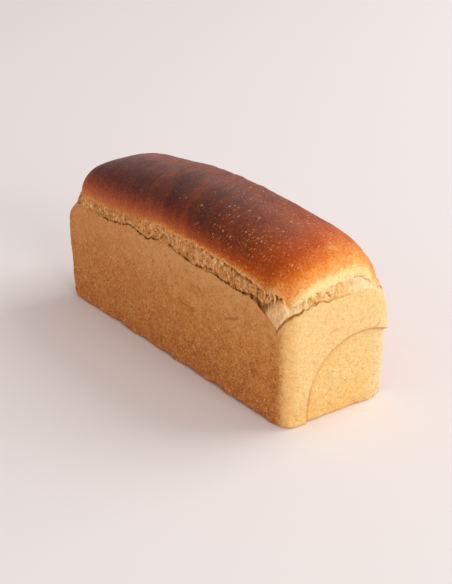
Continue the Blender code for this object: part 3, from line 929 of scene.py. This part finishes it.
# %% Tin-side crust: corner painted lighter, pores and cracks
# The painted highlight on the near corner.
corner = add(tree, "Attribute", output="Fac", attribute_name="corner")
corner = add(tree, "Math", (corner, 0.5), operation="MULTIPLY")
wall = add(tree, "MixRGB", (corner, wall, colour("#F8B060")))
squashed = add(tree, "Mapping", {"Vector": here, "Scale": (1, 1, 0.7)})
pores = add(tree, "TexVoronoi", {"Vector": squashed, "Scale": 1000 / 9})
pores = add(tree, "MapRange", (pores, 0.12, 0.05))
pore_share = add(tree, "Math", (pores, 0.4), operation="MULTIPLY")
wall = add(tree, "MixRGB", (pore_share, wall, darker))
# Creases get a brown line that is partly painted shade.
for name, strength, tone in (("crack", 0.6, "#84461A"), ("crease", 0.75, "#C47A42")):
    line = add(tree, "Attribute", output="Fac", attribute_name=name)
    line = add(tree, "Math", (line, strength), operation="MULTIPLY")
    wall = add(tree, "MixRGB", (line, wall, colour(tone)))
relief = add(tree, "Math", (curls, 0.4, grain), operation="MULTIPLY_ADD")
relief = add(tree, "Math", (pores, -0.5, relief), operation="MULTIPLY_ADD")
relief = add(tree, "Bump", {"Height": relief, "Strength": 0.8, "Distance": 0.0009})
tree.links.new(wall, shader.inputs["Base Color"])
tree.links.new(relief, shader.inputs["Normal"])
tin_crust.data.materials.append(material)
print(material.name, "nodes in all:", len(tree.nodes))

# %% [markdown]
# ## Torn crumb: pulled fibres
# Crumb is the pale inside of the bread. Torn, it is the roughest surface here, with hardly any
# gloss. A fine noise, stretched upwards like the fibres, gives its light and dark threads: tan on
# the side, smoother and paler on the tongue, whose paleness is partly painted light, and cream on
# the near end.

# %% Torn crumb: threads and skin
SIDE_THREADS = [(0.36, "#BC7A3A"), (0.5, "#EAA260"), (0.63, "#FFD298")]
# The tongue's threads are paler partly as painted light, as if the tongue turned to the lamps.
TONGUE_THREADS_WITH_PAINTED_LIGHT = [(0.3, "#F2B070"), (0.7, "#FFDCA4")]
END_THREADS = [(0.3, "#DCA055"), (0.5, "#EDC07A"), (0.7, "#FAE8C0")]

material, tree, shader = start_material("torn_crumb", 0.9, 1.35)
shader.inputs["Specular IOR Level"].default_value = 0.1
here = add(tree, "TexCoord", output="Object")
drawn_up = add(tree, "Mapping", {"Vector": here, "Scale": (1, 1, 0.5)})
fibre = {"Vector": drawn_up, "Scale": 1000 / 2, "Detail": 4.0, "Roughness": 0.7, "Distortion": 0.8}
fibre = add(tree, "TexNoise", fibre)
near_end = add(tree, "Attribute", output="Fac", attribute_name="near_end")
on_tongue = add(tree, "Attribute", output="Fac", attribute_name="tongue")
side = add(tree, "ValToRGB", (fibre,), steps=SIDE_THREADS)
tongue = add(tree, "ValToRGB", (fibre,), steps=TONGUE_THREADS_WITH_PAINTED_LIGHT)
end = add(tree, "ValToRGB", (fibre,), steps=END_THREADS)
side = add(tree, "MixRGB", (on_tongue, side, tongue))
crumb = add(tree, "MixRGB", (near_end, side, end))
patches = add(tree, "TexNoise", {"Vector": here, "Scale": 1000 / 7, **SOFT})
patches = add(tree, "MapRange", (patches, 0.45, 0.7, 0.0, 0.55))
crumb = add(tree, "MixRGB", (patches, crumb, colour("#B87840")))
skin = add(tree, "Attribute", output="Fac", attribute_name="skin")
skin_tone = add(tree, "MixRGB", (near_end, colour("#E09C58"), colour("#F6E4BC")))
crumb = add(tree, "MixRGB", (skin, crumb, skin_tone))
print(material.name, "nodes so far:", len(tree.nodes))

# %% [markdown]
# The flap beside the near corner and the far part of the near end are palest. The pits, the groove
# and the gash are shaped already, and the material darkens them where their marks say so: painted
# shade in these hollows.

# %% Torn crumb: pale flap and painted shade in the hollows
flap = add(tree, "Attribute", output="Fac", attribute_name="flap")
flap = add(tree, "Math", (flap, 0.75), operation="MULTIPLY")
crumb = add(tree, "MixRGB", (flap, crumb, colour("#FFDCA0")))
axis = add(tree, "SeparateXYZ", (here,), output=None)
pale = add(tree, "MapRange", (axis["Y"], 0.002, 0.018, 0.0, 0.45))
pale = add(tree, "Math", (pale, near_end), operation="MULTIPLY")
crumb = add(tree, "MixRGB", (pale, crumb, colour("#FAE4B8")))
# Painted shade: the dark brown that goes into the pits and the groove.
painted_shade = add(tree, "MixRGB", (near_end, colour("#9C6428"), colour("#B87434")))
PAINTED_HOLLOW_SHADES = (("pits", 0.05, 0.9, 0.8, painted_shade), ("groove", 0.25, 0.9, 0.65, painted_shade),
           ("gash", 0.15, 0.8, 0.85, colour("#A8784C")))
for name, first, last, most, tone in PAINTED_HOLLOW_SHADES:
    hollow = add(tree, "Attribute", output="Fac", attribute_name=name)
    hollow = add(tree, "MapRange", (hollow, first, last, 0.0, most))
    crumb = add(tree, "MixRGB", (hollow, crumb, tone))
threads = add(tree, "Bump", {"Height": fibre, "Strength": 0.8, "Distance": 0.0008})
tree.links.new(crumb, shader.inputs["Base Color"])
tree.links.new(threads, shader.inputs["Normal"])
torn_crumb.data.materials.append(material)
torn_shreds.data.materials.append(material)
print(material.name, "nodes in all:", len(tree.nodes))

# %% [markdown]
# ## Studio
# A pale matt floor and a bright room. Of two large soft lamps, one stands behind the loaf and one
# beyond its near end. That end is therefore brightest, and the shadow falls to the front left.

# %% Floor and room
bpy.ops.object.select_all(action="DESELECT")
bpy.ops.mesh.primitive_plane_add(size=12, location=(0, 0, 0))
floor = bpy.context.object
floor.name = "floor"
material, tree, shader = start_material("pale_floor", 0.9, 1.3)
shader.inputs["Base Color"].default_value = colour("#F3ECEA")
floor.data.materials.append(material)

world = bpy.data.worlds.new("bright_room")
world.use_nodes = True
world.node_tree.nodes["Background"].inputs["Color"].default_value = (1.0, 0.95, 0.935, 1)
world.node_tree.nodes["Background"].inputs["Strength"].default_value = 0.52
bpy.context.scene.world = world
bpy.context.scene.view_settings.view_transform = "Standard"
print("floor in m:", floor.dimensions[:2])

# %% Two soft lamps
LAMP_DISTANCE = 3.75


def soft_lamp(name, direction, size, energy):
    """A large square lamp that faces the loaf from this direction."""
    lamp_data = bpy.data.lights.new(name, "AREA")
    lamp_data.size, lamp_data.energy = size, energy
    lamp_data.color = (1.0, 1.0, 0.995)
    lamp = bpy.data.objects.new(name, lamp_data)
    towards = Vector(direction).normalized()
    lamp.location = towards * LAMP_DISTANCE
    lamp.rotation_euler = towards.to_track_quat("Z", "Y").to_euler()
    bpy.context.scene.collection.objects.link(lamp)
    print(name, "in watts:", energy)


soft_lamp("back_lamp", (0.22, 0.8, 0.66), 3.0, 84)
soft_lamp("end_lamp", (1.0, -0.05, 0.27), 2.0, 67)

# %% [markdown]
# The camera looks down on the near corner through a long lens, so the loaf's long edges run almost
# parallel. Its place, angle and lens were fitted to the loaf's edges. The lens is worked out from its
# length in pixels. The sensor's 36 mm belong to the picture's longer side, which is its height.

# %% Camera at the photo's angle
AZIMUTH, ELEVATION = math.radians(53.64), math.radians(24.37)
CAMERA_PLACE = (0.8426, -0.6091, 0.5173)
FOCAL_PIXELS, PICTURE_HEIGHT_PIXELS = 1300, 584
SENSOR = 36

camera_data = bpy.data.cameras.new("photo_view")
camera_data.sensor_width = SENSOR
camera_data.lens = SENSOR * FOCAL_PIXELS / PICTURE_HEIGHT_PIXELS
camera = bpy.data.objects.new("photo_view", camera_data)
level = math.cos(ELEVATION)
back = Vector((math.sin(AZIMUTH) * level, -math.cos(AZIMUTH) * level, math.sin(ELEVATION)))
camera.location = CAMERA_PLACE
camera.rotation_euler = back.to_track_quat("Z", "Y").to_euler()
bpy.context.scene.collection.objects.link(camera)
bpy.context.scene.camera = camera
print("lens in mm:", round(camera_data.lens, 1))

# %% [markdown]
# ## Hand over
# Every piece rides on the loaf's one body and takes the imported solid's place. The sizes at the start
# and at the end are gathered side by side at the close.

# %% Hand over to the frame
for piece in (tin_crust, torn_crumb, dome_crust, torn_shreds):
    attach(piece, "root")
    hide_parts("loaf")
floor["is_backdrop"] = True


def plain_lists(boxes):
    if hasattr(boxes, "items"):
        return {name: plain_lists(box) for name, box in boxes.items()}
    if isinstance(boxes, (float, int, str)) or boxes is None:
        return boxes
    return [plain_lists(part) for part in boxes]


{"at_load": plain_lists(bounds_at_load), "at_finish": plain_lists(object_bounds())}
